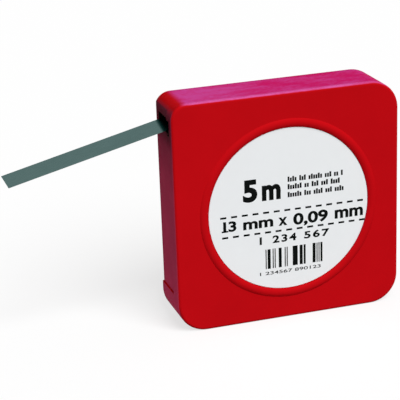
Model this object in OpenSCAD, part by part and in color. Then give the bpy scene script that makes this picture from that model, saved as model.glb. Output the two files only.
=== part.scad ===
// Feeler gauge strip roll: a flat moulded case that holds a coil of thin steel strip, with the
// strip's free end standing out of a slot high in the left side.
// X runs along the label face, Y from the label face to the back, Z up. The origin is under the
// middle of the case, on the surface that the case stands on.

/* [Case] */
// Width of the case, along its label face
case_w = 80; // [76:1:88]
// Height of the case, standing on its base
case_h = 80; // [77:1:90]
// Depth of the case, from its label face to its back
case_d = 19.4; // [17.8:0.2:30]
// Radius of three of the corners, seen from the front
corner_r = 10; // [7:0.5:12]
// Radius of the upper left corner, over the strip
exit_corner_r = 5.5; // [4:0.5:8]
// Rounding of the edge round the label face
edge_r = 1; // [0.4:0.1:1.5]
// Rounding of the edge round the back
back_edge_r = 0.75; // [0.4:0.05:1.2]
// Thickness of the side walls
wall = 2; // [1.7:0.1:2.6]
// Thickness of the label face
face_t = 1.8; // [1.5:0.1:2.6]
// Thickness of the back cover
cover_t = 1.6; // [1.4:0.1:2.6]

/* [Label] */
// Diameter of the paper label
label_d = 57; // [40:0.5:62]
// Thickness of the paper label
label_t = 0.2; // [0.1:0.05:0.3]
// Depth of the label's seat below the label face
label_sink = 0.4; // [0.2:0.1:0.8]
// Gap all round between the label and its ring
label_gap = 0.15; // [0.05:0.05:0.4]
// Width of the raised ring round the label
ring_w = 3; // [2.9:0.1:4.4]
// Height of the raised ring above the label face
ring_h = 0.6; // [0.4:0.1:1]
// Distance from the ring's inner edge to its crest
ring_crest = 1.5; // [1:0.1:1.8]
// Distance of the ring's middle below the case's middle
label_drop = 0.6; // [0:0.1:2]
// Distance of the ring's middle to the right of the case's middle
label_across = 0.2; // [0:0.1:2]

/* [Strip] */
// Width of the steel strip
strip_w = 13; // [10:0.5:14]
// Thickness of the steel strip
strip_t = 0.09; // [0.05:0.01:0.5]
// Whole length of the steel strip
strip_l = 5000; // [1000:500:5000]
// How much looser than solid the strip is wound
wound_slack = 1.05; // [1:0.01:1.2]
// Length of strip that stands out of the case
strip_out = 55; // [20:0.5:120]
// Slope of the drawn-out strip, in degrees below level
exit_slope = 13.3; // [8:0.1:16]
// Distance of the drawn-out strip's line outside the coil's circle
exit_lift = 1.9; // [1.6:0.1:2.8]
// Radius of the strip's easy bend between coil and slot
bend_r = 200; // [140:10:300]

/* [Slot and side recess] */
// Gap between each edge of the strip and the slot's end
slot_side = 0.4; // [0.3:0.1:0.7]
// Height of the slot below the strip
slot_below = 2.2; // [1:0.1:2.5]
// Height of the slot above the strip
slot_above = 2.8; // [1:0.1:4]
// Depth of the shallow recess in the left side
recess_deep = 0.7; // [0.3:0.1:1.2]
// Distance of the recess behind the label face
recess_front = 5.5; // [4:0.5:12]
// Height of the recess's lower ledge above the base
recess_foot = 12.5; // [10:0.5:30]

/* [Inside] */
// Radial gap between the coil and its chamber
coil_gap = 0.3; // [0.2:0.05:0.8]
// Gap between each edge of the coil and its land
side_gap = 0.3; // [0.2:0.05:0.6]
// Thickness of the round chamber wall
rib_t = 1.4; // [1:0.1:1.6]
// Width of the coil's lands inside the coil's bore
land_w = 3; // [1:0.5:6]
// Diameter of the four bosses that take the cover's pegs
boss_d = 4.4; // [4:0.2:5]
// Diameter of the back cover's pegs
peg_d = 2.2; // [1.6:0.1:2.6]
// Length of the back cover's pegs
peg_l = 8; // [4:0.5:14]
// Gap round each peg in its boss
peg_gap = 0.1; // [0.05:0.05:0.2]
// Gap between the cover's land and the chamber wall
land_gap = 0.3; // [0.1:0.05:0.5]

/* [Hidden] */
$fn = 96;
case_red = [0.72, 0.04, 0.08];
paper_white = [0.93, 0.93, 0.92];
steel_grey = [0.4, 0.46, 0.44];
// Overshoot of a cutting shape past the face that it cuts
past = 1;
// Planes along the depth, from the middle of the strip's width towards the label face: the strip
// lies midway between the label face's inner side and the cover's
land_z = strip_w / 2 + side_gap;
front_z = (case_d - face_t - cover_t) / 2 + face_t;
back_z = front_z - case_d;
seam_z = back_z + cover_t;
// Corners of the case seen from the front, from the upper right round to the lower right
corner_signs = [[1, 1], [-1, 1], [-1, -1], [1, -1]];
corner_radii = [corner_r, exit_corner_r, corner_r, corner_r];
corner_radii_behind = [exit_corner_r, corner_r, corner_r, corner_r];
half_size = [case_w / 2, case_h / 2];
// The coil in its round chamber
chamber_r = min(case_w, case_h) / 2 - wall;
coil_r = chamber_r - coil_gap;
coil_in = sqrt(coil_r * coil_r - strip_l * strip_t * wound_slack / PI);
land_in = coil_in - land_w;
// The label's seat and ring
seat_r = label_d / 2 + label_gap;
crest_r = seat_r + ring_crest;
ring_out = seat_r + ring_w;
ring_fall = ring_out - crest_r;
ring_arc = (ring_fall * ring_fall + ring_h * ring_h) / (2 * ring_h);
// The drawn-out strip in a frame turned by its slope: a level line outside the coil's circle,
// and a bend that starts over the coil's middle and meets the line bend_x further out
line_y = coil_r + exit_lift;
bend_x = sqrt(2 * exit_lift * (bend_r - coil_r) - exit_lift * exit_lift);
bend_angle = asin(bend_x / bend_r);
bend_steps = 12;
wall_x = (case_w / 2 - line_y * sin(exit_slope)) / cos(exit_slope);
strip_end_x = wall_x + strip_out;
// Height of the strip above the case's middle where it passes the left side
exit_h = line_y * cos(exit_slope) - wall_x * sin(exit_slope);
slot_low = exit_h - slot_below;
slot_h = slot_below + slot_above;
slot_w = strip_w + 2 * slot_side;
slot_deep = wall + 0.4 * exit_corner_r;
// The chamber wall is open from just past the bend's start to where it lies well under the strip
window_start = 1;
window_end = 12;
// The bosses stand on the diagonals, half sunk in the chamber wall
boss_at = (chamber_r + rib_t + boss_d / 4) / sqrt(2);

// Stands up what is drawn as seen from the front: X right, Y up, Z towards the viewer
module upright() {
    translate([0, front_z - case_d / 2, case_h / 2])
        rotate([90, 0, 0])
            children();
}

// Quarter of the case's outline, up to a and b from its middle, drawn in by an even distance
module outline_quarter(a, b, r, inset) {
    square([a - inset, b - r]);
    square([a - r, b - inset]);
    translate([a - r, b - r])
        circle(r - inset);
}

// Outline of the case with its rounded corners, drawn in by an even distance
module case_outline(inset, radii) {
    for (k = [0 : 3])
        rotate(90 * k)
            outline_quarter(half_size[k % 2], half_size[(k + 1) % 2], radii[k], inset);
}

// Section of a slab's rim, its outer upper edge rounded by e
module rim_section(width, depth, e) {
    difference() {
        square([width, depth]);
        translate([width - e, depth - e])
            difference() {
                square([e + past, e + past]);
                circle(e);
            }
    }
}

// Quarter of a slab, up to a and b from its middle, its outer upper edge rounded by e
module slab_quarter(a, b, r, depth, e) {
    cube([a - r, b - r, depth]);
    translate([a - r, b - r, 0]) {
        rotate([90, 0, 0])
            linear_extrude(b - r)
                rim_section(r, depth, e);
        rotate_extrude(angle = 90)
            rim_section(r, depth, e);
    }
    translate([0, b - r, 0])
        rotate([90, 0, 90])
            linear_extrude(a - r)
                rim_section(r, depth, e);
}

// Slab with the case's outline and its upper edge rounded by e, standing on z = 0
module case_slab(depth, e, radii) {
    for (k = [0 : 3])
        rotate([0, 0, 90 * k])
            slab_quarter(half_size[k % 2], half_size[(k + 1) % 2], radii[k], depth, e);
}

// Round wall of the coil's chamber, open where the strip leaves it
module chamber_wall() {
    rib_h = front_z - face_t - seam_z;
    difference() {
        translate([0, 0, seam_z])
            linear_extrude(rib_h + face_t / 2)
                difference() {
                    circle(chamber_r + rib_t);
                    circle(chamber_r);
                }
        rotate([0, 0, exit_slope])
            translate([-window_end, 0, seam_z - past])
                cube([window_start + window_end, case_h, rib_h + past]);
    }
}

// Flat annular land that guides one edge of the coil
module coil_land(outer_r, from_z, to_z) {
    translate([0, 0, from_z])
        linear_extrude(to_z - from_z)
            difference() {
                circle(outer_r);
                circle(land_in);
            }
}

// Places its children on the four diagonals where the cover is pegged
module at_bosses() {
    for (s = corner_signs)
        translate([s[0] * boss_at, s[1] * boss_at, 0])
            children();
}

// Places its children at the middle of the ring, on the label face
module at_ring() {
    translate([label_across, -label_drop, front_z])
        children();
}

// Raised ring round the label: an arc with its crest near the middle, cut steep at the label
module label_ring() {
    at_ring()
        rotate_extrude()
            intersection() {
                translate([crest_r, ring_h - ring_arc])
                    circle(ring_arc);
                translate([seat_r, -label_sink])
                    square([ring_w, ring_h + label_sink]);
            }
}

// Slot in the left side, for the strip
module strip_slot() {
    translate([-case_w / 2 - past, slot_low, -slot_w / 2])
        cube([slot_deep + past, slot_h, slot_w]);
}

// Shallow recess in the left side: a ledge below, running out at the upper corner, open behind
module side_recess() {
    translate([-case_w / 2 - past, recess_foot - case_h / 2, back_z - past])
        cube([recess_deep + past, case_h, case_d - recess_front + past]);
}

module case_shell() {
    color(case_red) upright() difference() {
        union() {
            difference() {
                translate([0, 0, seam_z])
                    case_slab(case_d - cover_t, edge_r, corner_radii);
                translate([0, 0, seam_z - past])
                    linear_extrude(case_d - cover_t - face_t + past)
                        case_outline(wall, corner_radii);
            }
            chamber_wall();
            coil_land(chamber_r + rib_t / 2, land_z, front_z - face_t / 2);
            at_bosses()
                translate([0, 0, seam_z])
                    cylinder(d = boss_d, h = front_z - face_t / 2 - seam_z);
            label_ring();
        }
        at_ring()
            translate([0, 0, -label_sink])
                cylinder(r = seat_r, h = label_sink + ring_h + past);
        at_bosses()
            translate([0, 0, seam_z - past])
                cylinder(d = peg_d + 2 * peg_gap, h = peg_l + 2 * past);
        strip_slot();
        side_recess();
    }
}

module back_cover() {
    color(case_red) upright() difference() {
        union() {
            translate([0, 0, seam_z])
                rotate([0, 180, 0])
                    case_slab(cover_t, back_edge_r, corner_radii_behind);
            coil_land(chamber_r - land_gap, seam_z - cover_t / 2, -land_z);
            at_bosses()
                translate([0, 0, seam_z - cover_t / 2])
                    cylinder(d = peg_d, h = cover_t / 2 + peg_l);
        }
        side_recess();
    }
}

module label() {
    color(paper_white) upright() at_ring()
        translate([0, 0, -label_sink])
            cylinder(d = label_d, h = label_t);
}

// The wound strip, as one turned ring with its bore
module strip_coil() {
    color(steel_grey) upright()
        translate([0, 0, -strip_w / 2])
            difference() {
                cylinder(r = coil_r, h = strip_w);
                translate([0, 0, -past])
                    cylinder(r = coil_in, h = strip_w + 2 * past);
            }
}

// Point of the strip's bend, on the side of it with radius r, k steps in from the straight part
function bend_point(r, k) = [
    r * sin(bend_angle * k / bend_steps) - bend_x,
    r * cos(bend_angle * k / bend_steps) + line_y - bend_r
];

// The strip's free end: an easy bend beside the coil, then straight out through the slot
module strip_end() {
    color(steel_grey) upright() rotate([0, 0, exit_slope])
        translate([0, 0, -strip_w / 2])
            linear_extrude(strip_w)
                polygon(concat(
                    [[-strip_end_x, line_y]],
                    [for (k = [0 : bend_steps]) bend_point(bend_r, k)],
                    [for (k = [bend_steps : -1 : 0]) bend_point(bend_r + strip_t, k)],
                    [[-strip_end_x, line_y + strip_t]]
                ));
}

case_shell();
back_cover();
label();
strip_coil();
strip_end();
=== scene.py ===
import math

import bpy
import numpy as np
from mathutils import Matrix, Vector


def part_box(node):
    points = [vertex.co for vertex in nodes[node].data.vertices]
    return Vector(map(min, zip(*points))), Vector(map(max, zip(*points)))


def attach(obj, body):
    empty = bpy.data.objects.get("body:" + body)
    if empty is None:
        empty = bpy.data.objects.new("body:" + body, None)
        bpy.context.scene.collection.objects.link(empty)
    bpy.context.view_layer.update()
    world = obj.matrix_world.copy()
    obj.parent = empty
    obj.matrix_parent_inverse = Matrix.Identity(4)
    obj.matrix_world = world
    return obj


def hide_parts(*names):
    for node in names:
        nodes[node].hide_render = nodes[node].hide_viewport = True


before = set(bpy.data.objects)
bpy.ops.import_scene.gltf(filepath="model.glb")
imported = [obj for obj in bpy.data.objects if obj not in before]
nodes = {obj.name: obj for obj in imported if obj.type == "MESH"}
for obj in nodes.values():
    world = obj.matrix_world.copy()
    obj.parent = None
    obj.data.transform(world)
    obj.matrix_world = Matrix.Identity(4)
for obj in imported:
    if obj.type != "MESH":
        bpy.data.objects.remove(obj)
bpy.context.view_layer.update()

MM = 0.001

# Sizes shared with the part
CASE_HALF = 40.0 * MM
CORNER_R = 10.0 * MM
CENTRE_Z = CASE_HALF
FACE_Y = -9.7 * MM
SEAM_Y = 8.1 * MM
COIL_Y = (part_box("strip_coil")[0].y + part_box("strip_coil")[1].y) / 2
COIL_R = 37.7 * MM
COIL_BORE = 35.65 * MM
STRIP_W = 13.0 * MM
STRIP_T = 0.09 * MM
WOUND_PITCH = 0.0945 * MM
STEPS_PER_TURN = 120
STRIP_SLOPE = math.radians(13.3)
LABEL_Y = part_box("label")[0].y
LABEL_X = (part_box("label")[0].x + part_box("label")[1].x) / 2
LABEL_Z = (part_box("label")[0].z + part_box("label")[1].z) / 2
SLOT_Z = 71.5 * MM
SLOT_H = 5.0 * MM
SLOT_W = 13.8 * MM

# Finishes, as linear colours
CASE_RED = (0.488, 0.0035, 0.0065, 1)
# Painted sheen of the top, pink and violet, darker at its back edge
TOP_SHEEN_PINK = (0.525, 0.0075, 0.112, 1)
TOP_SHEEN_VIOLET = (0.535, 0.051, 0.257, 1)
TOP_REAR = (0.30, 0.008, 0.11, 1)
# Painted sheen of the sides, a violet-tinted red
SIDE_SHEEN_RED = (0.59, 0.049, 0.120, 1)
# Painted highlight of the rounded edge over the label face
EDGE_HIGHLIGHT = (0.60, 0.090, 0.31, 1)
# Painted shade inside the case, in the slot and round it
INSIDE_SHADE = (0.02, 0.001, 0.001, 1)
SEAM_DARK = (0.05, 0.001, 0.002, 1)
PAPER_WHITE = (0.815, 0.837, 0.85, 1)
INK_BLACK = (0.0015, 0.0025, 0.0022, 1)
INK_WORN = (0.02, 0.022, 0.022, 1)
STEEL_GREY = (0.12, 0.17, 0.165, 1)
STEEL_EDGE = (0.46, 0.56, 0.55, 1)
STRIP_SHADE_DARK = (0.0, 0.0, 0.0, 1)
PURE_WHITE = (1, 1, 1, 1)
FLOOR_WHITE = (0.95, 0.95, 0.95, 1)
FLOOR_BOUNCE = (0.3, 0.3, 0.3, 1)

# Where each colour of the case starts and where it is full: a share of the normal that points up
# or sideways, or a place
TOP_UP = (0.8, 0.97)
TOP_Z = (72 * MM, 76 * MM)
TOP_X = (-36.5 * MM, -33.5 * MM)
VIOLET_X = (6 * MM, -32 * MM)
REAR_Y = (8.6 * MM, 9.5 * MM)
EDGE_UP = (0.5, 0.8)
EDGE_X = (-37 * MM, -33 * MM)
EDGE_Y = (FACE_Y + 2.5 * MM, FACE_Y + 1.0 * MM)
SIDE_OUT = (0.7, 0.99)
SIDE_Y = (FACE_Y + 0.4 * MM, FACE_Y + 1.4 * MM)
SIDE_DARK_Z = (46 * MM, 76 * MM)
SIDE_PALE_Z = (30 * MM, 2 * MM)
# Painted shade round the slot: where it starts and is full
SLOT_SHADE_X = (-33 * MM, -36 * MM)
SLOT_SHADE_Y = (SEAM_Y + 1.4 * MM, SEAM_Y + 0.6 * MM)
SLOT_SHADE_OUT = (5.5 * MM, 0.1 * MM)
SLOT_OUT = (0.25 * MM, 0.05 * MM)
SEAM_HALF = 0.12 * MM

# Where the painted shade on the strip starts and is full, outside the slot and inside the case
STRIP_SHADE_OUTER_X = (-41.8 * MM, -40.6 * MM)
STRIP_SHADE_INNER_X = (-22 * MM, -37 * MM)
STRIP_SHADE_SLANT = 0.1


# Meshes

def make_piece(name, points, faces, material, body, slot, smooth=False):
    """A mesh piece from its points (n, 3) and a list of faces, riding on a body."""
    mesh = bpy.data.meshes.new(name)
    mesh.from_pydata(np.asarray(points).tolist(), [], faces)
    mesh.polygons.foreach_set("use_smooth", np.full(len(mesh.polygons), smooth))
    mesh.materials.append(material)
    mesh.validate()
    piece = bpy.data.objects.new(name, mesh)
    bpy.context.scene.collection.objects.link(piece)
    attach(piece, body)
    return piece


def grid_faces(rows, columns, closed):
    """Quads of a grid of points, row after row; closed joins the last column to the first."""
    r = np.arange(rows - 1)[:, None]
    c = np.arange(columns if closed else columns - 1)[None, :]
    n = (c + 1) % columns
    here, above = r * columns, (r + 1) * columns
    quads = np.stack([here + c, here + n, above + n, above + c], -1)
    return quads.reshape(-1, 4).tolist()


def boxes(centres, sizes, y_front, y_back):
    """Closed boxes in the label's plane: (x, z) centres and (width, height) sizes as arrays, from
    y_front to y_back. Corner k of a box is its centre plus half its size times the k-th signs."""
    centres, sizes = np.atleast_2d(centres), np.atleast_2d(sizes)
    signs = np.array([(-1, -1), (1, -1), (1, 1), (-1, 1)])
    flat = centres[:, None, :] + signs[None] * sizes[:, None, :] / 2
    front = np.stack([flat[..., 0], np.full(flat.shape[:2], y_front), flat[..., 1]], -1)
    back = front.copy()
    back[..., 1] = y_back
    points = np.concatenate([front, back], 1).reshape(-1, 3)
    one = np.array([
        (0, 1, 2, 3), (7, 6, 5, 4), (0, 4, 5, 1), (1, 5, 6, 2), (2, 6, 7, 3), (3, 7, 4, 0),
    ])
    faces = (one[None] + 8 * np.arange(len(centres))[:, None, None]).reshape(-1, 4)
    return points, faces.tolist()


def words(text, span, y_front, y_back, bold=0.0, spacing=1.0):
    """Figures as a closed mesh in the label's plane, drawn out to span = (x0, x1, z0, z1)."""
    curve = bpy.data.curves.new("figures", "FONT")
    curve.body = text
    curve.size = 1.0
    curve.offset = bold
    curve.space_character = spacing
    curve.extrude = 0.5
    curve.resolution_u = 6
    holder = bpy.data.objects.new("figures", curve)
    bpy.context.scene.collection.objects.link(holder)
    bpy.context.view_layer.update()
    settled = holder.evaluated_get(bpy.context.evaluated_depsgraph_get())
    mesh = bpy.data.meshes.new_from_object(settled)
    p = np.zeros(len(mesh.vertices) * 3)
    mesh.vertices.foreach_get("co", p)
    p = p.reshape(-1, 3)
    faces = [list(f.vertices) for f in mesh.polygons]
    low, high = p.min(0), p.max(0)
    share = (p - low) / (high - low)
    x0, x1, z0, z1 = span
    points = np.stack([
        x0 + share[:, 0] * (x1 - x0),
        y_back + share[:, 2] * (y_front - y_back),
        z0 + share[:, 1] * (z1 - z0),
    ], 1)
    bpy.data.objects.remove(holder)
    bpy.data.meshes.remove(mesh)
    bpy.data.curves.remove(curve)
    return points, faces


def merged(parts):
    """Several (points, faces) as one."""
    points, faces, start = [], [], 0
    for p, f in parts:
        points.append(p)
        faces += [[i + start for i in face] for face in f]
        start += len(p)
    return np.concatenate(points), faces


# Node building

def add(tree, kind, inputs=None, **props):
    """A node of a kind, its properties set, its inputs given as values or as sockets to link."""
    made = tree.nodes.new(kind)
    for name, value in props.items():
        setattr(made, name, value)
    for key, value in (inputs or {}).items():
        if isinstance(value, bpy.types.NodeSocket):
            tree.links.new(value, made.inputs[key])
        else:
            made.inputs[key].default_value = value
    return made


def maths(tree, operation, a, b=0.0, clamp=False):
    """Output of a Math node."""
    made = add(tree, "ShaderNodeMath", {0: a, 1: b}, operation=operation, use_clamp=clamp)
    return made.outputs[0]


def product(tree, *factors):
    """Factors multiplied together."""
    total = factors[0]
    for factor in factors[1:]:
        total = maths(tree, "MULTIPLY", total, factor)
    return total


def scaled(tree, colour, factor):
    """A colour made lighter or darker by a factor."""
    made = add(tree, "ShaderNodeVectorMath", {0: colour, "Scale": factor}, operation="SCALE")
    return made.outputs[0]


def new_group(name, inputs, outputs):
    """An empty node group with named sockets, and its input and output nodes."""
    tree = bpy.data.node_groups.new(name, "ShaderNodeTree")
    for label, kind, value in inputs:
        socket = tree.interface.new_socket(name=label, in_out="INPUT", socket_type=kind)
        if value is not None:
            socket.default_value = value
    for label, kind in outputs:
        tree.interface.new_socket(name=label, in_out="OUTPUT", socket_type=kind)
    return tree, tree.nodes.new("NodeGroupInput"), tree.nodes.new("NodeGroupOutput")


FLOAT, VECTOR, COLOUR = "NodeSocketFloat", "NodeSocketVector", "NodeSocketColor"


def grain_group():
    """Fine grain as a height 0 to 1: two sizes of noise, the coarse one at a fifth of the scale."""
    tree, given, out = new_group("fine_grain", [
        ("Vector", VECTOR, None), ("Scale", FLOAT, 2000.0), ("Coarse", FLOAT, 0.3),
    ], [("Height", FLOAT)])
    vector, scale, coarse = given.outputs["Vector"], given.outputs["Scale"], given.outputs["Coarse"]
    fine = add(tree, "ShaderNodeTexNoise", {
        "Vector": vector, "Scale": scale, "Detail": 3.0, "Roughness": 0.6,
    })
    wide = add(tree, "ShaderNodeTexNoise", {
        "Vector": vector, "Scale": maths(tree, "MULTIPLY", scale, 0.2), "Detail": 2.0,
        "Roughness": 0.5,
    })
    mixed = add(tree, "ShaderNodeMix", {
        "Factor": coarse, "A": fine.outputs["Fac"], "B": wide.outputs["Fac"],
    })
    tree.links.new(mixed.outputs[0], out.inputs["Height"])
    return tree


def drift_group():
    """Colour drift: a colour made lighter and darker by up to Amount, in soft clouds."""
    tree, given, out = new_group("colour_drift", [
        ("Color", COLOUR, (0.8, 0.8, 0.8, 1)), ("Vector", VECTOR, None), ("Scale", FLOAT, 60.0),
        ("Amount", FLOAT, 0.1),
    ], [("Color", COLOUR)])
    cloud = add(tree, "ShaderNodeTexNoise", {
        "Vector": given.outputs["Vector"], "Scale": given.outputs["Scale"], "Detail": 4.0,
        "Roughness": 0.55,
    })
    swing = maths(tree, "MULTIPLY", maths(tree, "SUBTRACT", cloud.outputs["Fac"], 0.5), 4.0)
    factor = maths(tree, "ADD", 1.0, maths(tree, "MULTIPLY", swing, given.outputs["Amount"]))
    tree.links.new(scaled(tree, given.outputs["Color"], factor), out.inputs["Color"])
    return tree


def smudge_group():
    """Handling: a mask 0 to 1 of soft smudges where the surface has been touched."""
    tree, given, out = new_group("handling", [
        ("Vector", VECTOR, None), ("Scale", FLOAT, 45.0), ("Low", FLOAT, 0.45),
        ("High", FLOAT, 0.7),
    ], [("Mask", FLOAT)])
    cloud = add(tree, "ShaderNodeTexNoise", {
        "Vector": given.outputs["Vector"], "Scale": given.outputs["Scale"], "Detail": 5.0,
        "Roughness": 0.6, "Distortion": 0.8,
    })
    ramp = add(tree, "ShaderNodeMapRange", {
        "Value": cloud.outputs["Fac"], "From Min": given.outputs["Low"],
        "From Max": given.outputs["High"],
    }, interpolation_type="SMOOTHSTEP")
    tree.links.new(ramp.outputs[0], out.inputs["Mask"])
    return tree


GRAIN, DRIFT, SMUDGE = grain_group(), drift_group(), smudge_group()


def grouped(tree, group, output, **inputs):
    """Output of a placed group, its inputs given by name."""
    made = tree.nodes.new("ShaderNodeGroup")
    made.node_tree = group
    for name, value in inputs.items():
        if isinstance(value, bpy.types.NodeSocket):
            tree.links.new(value, made.inputs[name])
        else:
            made.inputs[name].default_value = value
    return made.outputs[output]


def new_material(name):
    """A material with only its output node, its tree, and its Object coordinates."""
    material = bpy.data.materials.new(name)
    material.use_nodes = True
    tree = material.node_tree
    tree.nodes.clear()
    return material, tree, add(tree, "ShaderNodeTexCoord").outputs["Object"]


def surface(tree, inputs):
    """Principled shader with these inputs, joined to the material's output."""
    shader = add(tree, "ShaderNodeBsdfPrincipled", inputs)
    end = tree.nodes.new("ShaderNodeOutputMaterial")
    tree.links.new(shader.outputs["BSDF"], end.inputs["Surface"])


def bump(tree, height, distance):
    """Normal from a height 0 to 1, distance metres deep."""
    inputs = {"Height": height, "Distance": distance, "Strength": 1.0}
    return add(tree, "ShaderNodeBump", inputs).outputs["Normal"]


def part_of(tree, vector, axis):
    """One coordinate of a vector."""
    return add(tree, "ShaderNodeSeparateXYZ", {"Vector": vector}).outputs[axis]


def line_mask(tree, value, centre, half_width):
    """1 on a line, falling to 0 at half_width to either side."""
    off = maths(tree, "ABSOLUTE", maths(tree, "SUBTRACT", value, centre))
    return add(tree, "ShaderNodeMapRange", {
        "Value": off, "From Min": 0.0, "From Max": half_width, "To Min": 1.0, "To Max": 0.0,
    }).outputs[0]


def ramp(tree, value, low, high, start=0.0, end=1.0):
    """A value eased from start at low to end at high."""
    return add(tree, "ShaderNodeMapRange", {
        "Value": value, "From Min": low, "From Max": high, "To Min": start, "To Max": end,
    }, interpolation_type="SMOOTHSTEP").outputs[0]


def mixed_colour(tree, factor, first, second):
    """Two colours mixed by a factor."""
    made = add(tree, "ShaderNodeMix", {"Factor": factor, "A": first, "B": second}, data_type="RGBA")
    return made.outputs[2]


def beyond(tree, value, centre, half):
    """How far a value lies more than half away from a centre; below 0 within it."""
    away = maths(tree, "ABSOLUTE", maths(tree, "SUBTRACT", value, centre))
    return maths(tree, "SUBTRACT", away, half)


def inside_case(tree, across, depth, height):
    """1 on the plastic's inner faces, 0 outside. A point counts as inside from 0.9 mm in from the
    case's outline, a square with round corners, and 1.2 mm in from its front and 1.3 mm from its
    back: past its straight stretches, the outline is one corner's radius from the centres."""
    past_x = maths(tree, "MAXIMUM", beyond(tree, across, 0.0, CASE_HALF - CORNER_R), 0.0)
    past_z = maths(tree, "MAXIMUM", beyond(tree, height, CENTRE_Z, CASE_HALF - CORNER_R), 0.0)
    squares = maths(tree, "ADD", product(tree, past_x, past_x), product(tree, past_z, past_z))
    past = maths(tree, "SQRT", squares)
    return product(
        tree,
        ramp(tree, past, CORNER_R - 0.9 * MM, CORNER_R - 1.6 * MM),
        ramp(tree, depth, FACE_Y + 1.2 * MM, FACE_Y + 1.7 * MM),
        ramp(tree, depth, SEAM_Y + 0.3 * MM, SEAM_Y + 0.1 * MM),
    )


def slot_distance(tree, depth, height):
    """How far a point lies outside the slot's opening, along its height or across it."""
    aside = beyond(tree, depth, COIL_Y, SLOT_W / 2)
    above = beyond(tree, height, SLOT_Z, SLOT_H / 2)
    return maths(tree, "MAXIMUM", aside, above)


def painted_side_sheen_and_shade(tree, place, height):
    """Painted sheen and shade of the left and right sides: a violet-tinted red, painted shade
    darker at the top, painted light paler at the foot.
    """
    dusk = grouped(tree, DRIFT, "Color", Color=SIDE_SHEEN_RED, Vector=place, Scale=90.0, Amount=0.08)
    darker = ramp(tree, height, *SIDE_DARK_Z, 1.0, 0.5)
    paler = ramp(tree, height, *SIDE_PALE_Z, 1.05, 1.35)
    return scaled(tree, dusk, product(tree, darker, paler))


def painted_top_sheen(tree, across, depth, streak):
    """Painted sheen of the top, pink: more violet to the left and in streaks, darker at the back
    edge.
    """
    violet = maths(
        tree, "ADD", ramp(tree, across, *VIOLET_X, 0.22, 0.85),
        ramp(tree, streak, 0.38, 0.62, -0.36, 0.36), clamp=True,
    )
    pink = mixed_colour(tree, violet, TOP_SHEEN_PINK, TOP_SHEEN_VIOLET)
    return mixed_colour(tree, ramp(tree, depth, *REAR_Y, 0.0, 0.5), pink, TOP_REAR)


def case_plastic():
    """Satin red moulded plastic: smooth on the label face, painted sheen and shade on its sides,
    a painted pink and violet sheen on the top, a painted highlight on the edge over the label
    face, painted shade in and round the slot and on the inner faces, and a dark joint line."""
    material, tree, place = new_material("case_plastic")
    normal = add(tree, "ShaderNodeTexCoord").outputs["Normal"]
    across, depth, height = (part_of(tree, place, axis) for axis in "XYZ")
    up = part_of(tree, normal, "Z")
    aside = maths(tree, "ABSOLUTE", part_of(tree, normal, "X"))
    seam = line_mask(tree, depth, SEAM_Y, SEAM_HALF)
    sides = ramp(tree, depth, *SIDE_Y)
    upper = ramp(tree, height, *TOP_Z)
    long = add(tree, "ShaderNodeMapping", {"Vector": place, "Scale": (550.0, 1500.0, 900.0)})
    streak = grouped(tree, GRAIN, "Height", Vector=long.outputs[0], Scale=1.0, Coarse=0.5)

    red = grouped(tree, DRIFT, "Color", Color=CASE_RED, Vector=place, Scale=55.0, Amount=0.05)
    # Painted sheen and shade on the left and right sides.
    red = mixed_colour(tree, ramp(tree, aside, *SIDE_OUT), red, painted_side_sheen_and_shade(tree, place, height))
    # Painted sheen: the up-facing top is mixed to the pink and violet of a grazing reflection.
    top_sheen_mask = product(tree, ramp(tree, up, *TOP_UP), upper, ramp(tree, across, *TOP_X))
    red = mixed_colour(tree, top_sheen_mask, red, painted_top_sheen(tree, across, depth, streak))
    # Painted highlight along the rounded edge over the label face, broken by streaks.
    edge = product(
        tree, ramp(tree, up, *EDGE_UP), upper, ramp(tree, across, *EDGE_X),
        ramp(tree, depth, *EDGE_Y), ramp(tree, streak, 0.38, 0.6, 0.55, 1.0),
    )
    red = mixed_colour(tree, edge, red, EDGE_HIGHLIGHT)

    # Painted shade round the slot on the left side, darkest by the slot and gone 5.5 mm from it.
    beside = slot_distance(tree, depth, height)
    left_end = ramp(tree, across, *SLOT_SHADE_X)
    slot_shade = product(
        tree, sides, ramp(tree, depth, *SLOT_SHADE_Y), left_end,
        ramp(tree, beside, *SLOT_SHADE_OUT, 0.0, 0.62),
    )
    red = mixed_colour(tree, slot_shade, red, INSIDE_SHADE)
    # Painted shade in the slot's opening and on the case's inner faces.
    opening = product(tree, left_end, ramp(tree, beside, *SLOT_OUT))
    unlit = maths(tree, "MAXIMUM", opening, inside_case(tree, across, depth, height))
    red = mixed_colour(tree, unlit, red, INSIDE_SHADE)
    red = mixed_colour(tree, product(tree, seam, 0.8), red, SEAM_DARK)

    touched = grouped(tree, SMUDGE, "Mask", Vector=place, Scale=38.0)
    rough = maths(tree, "ADD", 0.42, product(tree, sides, 0.1))
    rough = maths(tree, "SUBTRACT", rough, product(tree, touched, 0.07))
    grain = grouped(tree, GRAIN, "Height", Vector=place, Scale=2600.0, Coarse=0.35)
    relief = product(tree, grain, ramp(tree, sides, 0.0, 1.0, 0.25, 1.0))
    relief = maths(tree, "SUBTRACT", relief, product(tree, seam, 3.0))
    surface(tree, {
        "Base Color": red, "Roughness": rough, "Normal": bump(tree, relief, 0.02 * MM),
        "Specular IOR Level": 0.002,
    })
    return material


def label_paper():
    """Smooth white label paper: faint fibres and a faint mottle."""
    material, tree, place = new_material("label_paper")
    white = grouped(
        tree, DRIFT, "Color", Color=PAPER_WHITE, Vector=place, Scale=160.0, Amount=0.012,
    )
    fibre = grouped(tree, GRAIN, "Height", Vector=place, Scale=1500.0, Coarse=0.5)
    surface(tree, {
        "Base Color": white, "Roughness": maths(tree, "ADD", 0.5, product(tree, fibre, 0.1)),
        "Normal": bump(tree, fibre, 0.006 * MM), "Specular IOR Level": 0.25,
    })
    return material


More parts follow.
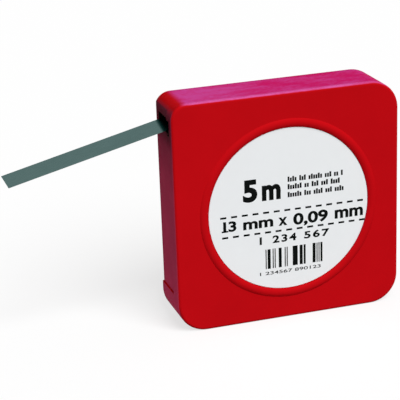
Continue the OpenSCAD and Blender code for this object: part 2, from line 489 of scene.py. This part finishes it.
def print_ink():
    """Black printing ink, a little worn through where the paper stands up."""
    material, tree, place = new_material("print_ink")
    fibre = grouped(tree, GRAIN, "Height", Vector=place, Scale=2400.0, Coarse=0.4)
    worn = add(tree, "ShaderNodeMapRange", {
        "Value": fibre, "From Min": 0.62, "From Max": 0.78, "To Min": 0.0, "To Max": 0.35,
    }).outputs[0]
    surface(tree, {
        "Base Color": mixed_colour(tree, worn, INK_BLACK, INK_WORN),
        "Roughness": maths(tree, "ADD", 0.38, product(tree, fibre, 0.15)),
        "Specular IOR Level": 0.04,
    })
    return material


def strip_steel(name, along, across, shaded_at_slot):
    """Dull rolled spring steel: fine streaks, long in the direction of along, close set across.
    Where shaded_at_slot is set, painted shade darkens it beside and inside the slot."""
    material, tree, place = new_material(name)
    turned = add(tree, "ShaderNodeMapping", {"Vector": place, "Rotation": along, "Scale": across})
    streak = grouped(tree, GRAIN, "Height", Vector=turned.outputs[0], Scale=1.0, Coarse=0.4)
    grey = grouped(tree, DRIFT, "Color", Color=STEEL_GREY, Vector=place, Scale=90.0, Amount=0.05)
    fall = add(tree, "ShaderNodeMapRange", {
        "Value": streak, "From Min": 0.3, "From Max": 0.7, "To Min": 0.86, "To Max": 1.12,
    })
    shade = scaled(tree, grey, fall.outputs[0])
    if shaded_at_slot:
        # Painted shade on the strip beside and inside the slot, slanting across it.
        slant = product(tree, part_of(tree, place, "Y"), STRIP_SHADE_SLANT)
        slanted = maths(tree, "SUBTRACT", part_of(tree, place, "X"), slant)
        strip_shade_mask = product(tree, ramp(tree, slanted, *STRIP_SHADE_OUTER_X), ramp(tree, slanted, *STRIP_SHADE_INNER_X))
        shade = mixed_colour(tree, strip_shade_mask, shade, STRIP_SHADE_DARK)
    touched = grouped(tree, SMUDGE, "Mask", Vector=place, Scale=120.0)
    uneven = maths(tree, "ADD", product(tree, streak, 0.1), product(tree, touched, 0.05))
    rough = maths(tree, "ADD", 0.2, uneven)
    surface(tree, {
        "Base Color": shade, "Metallic": 1.0, "Roughness": rough,
        "Specular Tint": STEEL_EDGE, "Normal": bump(tree, streak, 0.003 * MM),
    })
    return material


PLASTIC = case_plastic()
PAPER = label_paper()
INK = print_ink()
STEEL_FREE = strip_steel(
    "strip_steel_free", (0, -STRIP_SLOPE, 0), (60.0, 9000.0, 9000.0), shaded_at_slot=True)
STEEL_WOUND = strip_steel(
    "strip_steel_wound", (0, 0, 0), (700.0, 9000.0, 700.0), shaded_at_slot=False)

for name, material in (("case_shell", PLASTIC), ("back_cover", PLASTIC), ("label", PAPER),
                       ("strip_coil", STEEL_WOUND), ("strip_end", STEEL_FREE)):
    node = nodes[name]
    if not node.material_slots:
        node.data.materials.append(material)
    for held in node.material_slots:
        held.material = material


# The wound strip: a spiral of thin turns, seen on the coil's ends

def wound_strip():
    """Spiral strip: at angle start - t its inner side has the radius
    COIL_R - STRIP_T - WOUND_PITCH * t / turn, or COIL_BORE where that is larger. The strip's
    section, a thin rectangle as wide as the strip, is carried along it."""
    turns = (COIL_R - COIL_BORE) / WOUND_PITCH
    t = np.linspace(0, 2 * math.pi * turns, int(turns * STEPS_PER_TURN))
    angle = math.pi / 2 + STRIP_SLOPE - t
    inner = COIL_R - STRIP_T - WOUND_PITCH * t / (2 * math.pi)
    inner = np.maximum(inner, COIL_BORE)
    radius = inner[:, None] + np.array([0, 1, 1, 0]) * STRIP_T
    y = np.broadcast_to(COIL_Y + np.array([-1, -1, 1, 1]) * STRIP_W / 2, radius.shape)
    z = CENTRE_Z + radius * np.sin(angle)[:, None]
    points = np.stack([radius * np.cos(angle)[:, None], y, z], -1)
    last = len(t) * 4
    faces = grid_faces(len(t), 4, True) + [[3, 2, 1, 0], [last - 4, last - 3, last - 2, last - 1]]
    return points.reshape(-1, 3), faces


coil = make_piece("wound_turns", *wound_strip(), STEEL_WOUND, "coil", "strip_steel")
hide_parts("strip_coil")


# What is printed on the label. Places are millimetres from the label's middle, along the print and
# up from it; the print is turned on the label by a small angle.

INK_FRONT = LABEL_Y - 0.012 * MM
INK_BACK = LABEL_Y + 0.01 * MM
PRINT_TURN = math.radians(-0.5)


def on_label(points):
    """Points given in millimetres along and up the print, turned and set on the label."""
    along, up = points[:, 0] * MM, points[:, 2] * MM
    c, s = math.cos(PRINT_TURN), math.sin(PRINT_TURN)
    return np.stack([LABEL_X + along * c - up * s, points[:, 1], LABEL_Z + along * s + up * c], 1)


def printed_boxes(rows):
    """Boxes on the label from rows of (x, z, width, height)."""
    rows = np.asarray(rows, float)
    points, faces = boxes(rows[:, :2], rows[:, 2:], INK_FRONT, INK_BACK)
    return on_label(points), faces


def printed_words(text, x0, x1, z0, z1, bold=0.0, spacing=1.0):
    """Figures on the label between x0 and x1, z0 and z1."""
    points, faces = words(text, (x0, x1, z0, z1), INK_FRONT, INK_BACK, bold, spacing)
    return on_label(points), faces


def dashes(x0, x1, z, count, share, thick):
    """A level dashed rule of count dashes, each a share of its pitch."""
    pitch = (x1 - x0) / (count - 1 + share)
    x = x0 + pitch * (np.arange(count) + share / 2)
    full = np.ones(count)
    return np.stack([x, z * full, pitch * share * full, thick * full], 1)


def bars(x0, x1, z0, z1, widths):
    """Upright bars from z0 to z1: widths alternate bar and space, drawn out from x0 to x1."""
    widths = np.asarray(widths, float)
    edges = np.concatenate([[0], np.cumsum(widths)]) / widths.sum() * (x1 - x0) + x0
    start, end = edges[:-1][::2], edges[1:][::2]
    full = np.ones(len(start))
    return np.stack([(start + end) / 2, (z0 + z1) / 2 * full, end - start, (z1 - z0) * full], 1)


TALL_BLOCK, LOW_BLOCK = 1.85, 1.4
BLOCK_SHARE = 0.78


def letter_blocks(x0, x1, z, pattern):
    """A row of small plain blocks in place of words, standing on z: t is a tall block, n a low one
    and a space a gap."""
    step = (x1 - x0) / (len(pattern) - 1 + BLOCK_SHARE)
    rows = []
    for k, mark in enumerate(pattern):
        if mark != " ":
            tall = TALL_BLOCK if mark == "t" else LOW_BLOCK
            rows.append((x0 + step * (k + BLOCK_SHARE / 2), z + tall / 2, step * BLOCK_SHARE, tall))
    return rows


DASHES, DASH_SHARE, DASH_THICK = 14, 0.56, 0.68
HEAVY, BOLD, PLAIN, LIGHT = 0.045, 0.035, 0.02, 0.012
WIDE = 1.25
BAR_WIDTHS = (1, 1, 3, 2, 1, 1, 1, 3, 3, 3, 1, 1, 1, 5, 5, 2, 3, 1, 2, 7, 3, 1, 1, 1, 1, 1, 2)
print_parts = [
    printed_boxes(dashes(-24.5, 26.9, -0.35, DASHES, DASH_SHARE, DASH_THICK)),
    printed_boxes(dashes(-24.0, 27.6, -7.45, DASHES, DASH_SHARE, DASH_THICK)),
    printed_boxes(bars(-8.7, 12.0, -20.7, -13.6, BAR_WIDTHS)),
    printed_words("5", -16.4, -11.3, 4.0, 11.95, HEAVY),
    printed_words("m", -9.7, -3.0, 3.9, 9.4, HEAVY),
    printed_words("1", -23.55, -22.5, -5.5, -1.75, PLAIN),
    printed_boxes([(-22.95, -5.22, 2.3, 0.56)]),
    printed_words("3", -21.7, -18.9, -5.5, -1.75, BOLD),
    printed_words("mm", -16.5, -5.8, -5.55, -2.7, BOLD),
    printed_words("x", -3.9, -0.75, -5.7, -2.75, BOLD),
    printed_words("0,09", 1.4, 14.0, -6.85, -1.95, BOLD),
    printed_words("mm", 16.5, 26.9, -5.9, -2.7, BOLD),
    printed_words("1", -10.75, -9.95, -11.65, -8.9, PLAIN),
    printed_words("234", -6.1, 2.5, -11.65, -8.9, BOLD, WIDE),
    printed_words("567", 5.3, 14.5, -11.65, -8.9, BOLD, WIDE),
    printed_words("1 234567 890123", -10.8, 11.35, -22.9, -21.7, LIGHT),
    printed_boxes(letter_blocks(-0.5, 19.4, 9.55, "tntn tnt ntnntn nnt nn t")),
    printed_boxes(letter_blocks(-0.5, 18.3, 6.9, "tnntnt nn tnt nnt tnnt")),
    printed_boxes(letter_blocks(-0.5, 19.7, 4.1, "tnnntn tnn ntnt nnt nntn")),
]
make_piece("label_print", *merged(print_parts), INK, "case", "label_paper")


# Floor, light and camera

FLOOR_HALF = 3.0
FLOOR_GLOW = 0.7
ROOM_LIGHT = 0.25
LAMP_POWER, LAMP_SPREAD = 3.3, math.radians(42)
LAMP_AZIMUTH, LAMP_HEIGHT = math.radians(14), math.radians(48)
CAMERA_AT = (-0.17074, -0.46846, 0.21520)
CAMERA_YAW = math.radians(16.925)
CAMERA_PITCH = math.radians(-19.332)
CAMERA_ROLL = math.radians(-2.190)
CAMERA_LENS, CAMERA_SENSOR = 138.79, 36


def seen_ray(tree):
    """1 for what the camera sees, straight or in a gloss or through glass."""
    path = add(tree, "ShaderNodeLightPath").outputs
    bent = maths(tree, "MAXIMUM", path["Is Glossy Ray"], path["Is Transmission Ray"])
    return maths(tree, "MAXIMUM", path["Is Camera Ray"], bent)


def make_floor():
    """Level pale floor, a square; what the camera sees of it is mostly its own white."""
    corners = [(x * FLOOR_HALF, y * FLOOR_HALF, 0) for x, y in ((-1, -1), (1, -1), (1, 1), (-1, 1))]
    mesh = bpy.data.meshes.new("floor")
    mesh.from_pydata(corners, [], [(0, 1, 2, 3)])
    floor = bpy.data.objects.new("floor", mesh)
    bpy.context.scene.collection.objects.link(floor)
    material, tree, place = new_material("floor_white")
    pale = grouped(tree, DRIFT, "Color", Color=FLOOR_WHITE, Vector=place, Scale=3.0, Amount=0.004)
    seen = seen_ray(tree)
    shade = mixed_colour(tree, seen, FLOOR_BOUNCE, pale)
    matt = add(tree, "ShaderNodeBsdfDiffuse", {"Color": shade})
    white = add(tree, "ShaderNodeEmission", {"Color": PURE_WHITE, "Strength": 1.0})
    both = add(tree, "ShaderNodeMixShader", {
        0: product(tree, seen, FLOOR_GLOW), 1: matt.outputs[0], 2: white.outputs[0],
    })
    end = tree.nodes.new("ShaderNodeOutputMaterial")
    tree.links.new(both.outputs[0], end.inputs["Surface"])
    mesh.materials.append(material)


def make_world():
    """Even room light, and a white surround for what the camera and glossy surfaces see."""
    world = bpy.data.worlds.new("studio")
    bpy.context.scene.world = world
    world.use_nodes = True
    tree = world.node_tree
    tree.nodes.clear()
    strength = add(tree, "ShaderNodeMapRange", {
        "Value": seen_ray(tree), "To Min": ROOM_LIGHT, "To Max": 1.0,
    })
    back = add(tree, "ShaderNodeBackground", {"Color": PURE_WHITE, "Strength": strength.outputs[0]})
    end = tree.nodes.new("ShaderNodeOutputWorld")
    tree.links.new(back.outputs[0], end.inputs["Surface"])


def turn_to(forward, up):
    """X, Y and Z axes of a lamp or camera that looks along forward with up above."""
    forward = np.asarray(forward) / np.linalg.norm(forward)
    right = np.cross(forward, up)
    right /= np.linalg.norm(right)
    above = np.cross(right, forward)
    return right, above, -forward


def place_object(thing, at, axes):
    """Puts a light or camera at a point with its own X, Y and Z along axes."""
    bpy.context.scene.collection.objects.link(thing)
    m = np.eye(4)
    m[:3, 0], m[:3, 1], m[:3, 2] = axes
    m[:3, 3] = at
    thing.matrix_world = Matrix(m.tolist())


def make_light():
    """One broad soft light from high in front, a little to the right."""
    lamp = bpy.data.lights.new("softbox", "SUN")
    lamp.energy = LAMP_POWER
    lamp.angle = LAMP_SPREAD
    level = math.cos(LAMP_HEIGHT)
    towards = -np.array([
        math.sin(LAMP_AZIMUTH) * level, -math.cos(LAMP_AZIMUTH) * level, math.sin(LAMP_HEIGHT),
    ])
    place_object(bpy.data.objects.new("softbox", lamp), (0, 0, 1), turn_to(towards, (0, 0, 1)))


def make_camera():
    """Camera at the photograph's angle: yaw to the right, pitch down, a slight roll."""
    flat = math.cos(CAMERA_PITCH)
    right = np.array([math.cos(CAMERA_YAW), -math.sin(CAMERA_YAW), 0])
    ahead = np.array([
        math.sin(CAMERA_YAW) * flat, math.cos(CAMERA_YAW) * flat, math.sin(CAMERA_PITCH),
    ])
    above = np.cross(right, ahead)
    across = math.cos(CAMERA_ROLL) * right + math.sin(CAMERA_ROLL) * above
    upward = -math.sin(CAMERA_ROLL) * right + math.cos(CAMERA_ROLL) * above
    lens = bpy.data.cameras.new("camera")
    lens.sensor_width = CAMERA_SENSOR
    lens.lens = CAMERA_LENS
    lens.clip_start, lens.clip_end = 0.01, 20
    camera = bpy.data.objects.new("camera", lens)
    place_object(camera, CAMERA_AT, (across, upward, -ahead))
    bpy.context.scene.camera = camera


make_floor()
make_world()
make_light()
make_camera()
bpy.context.scene.view_settings.view_transform = "Standard"
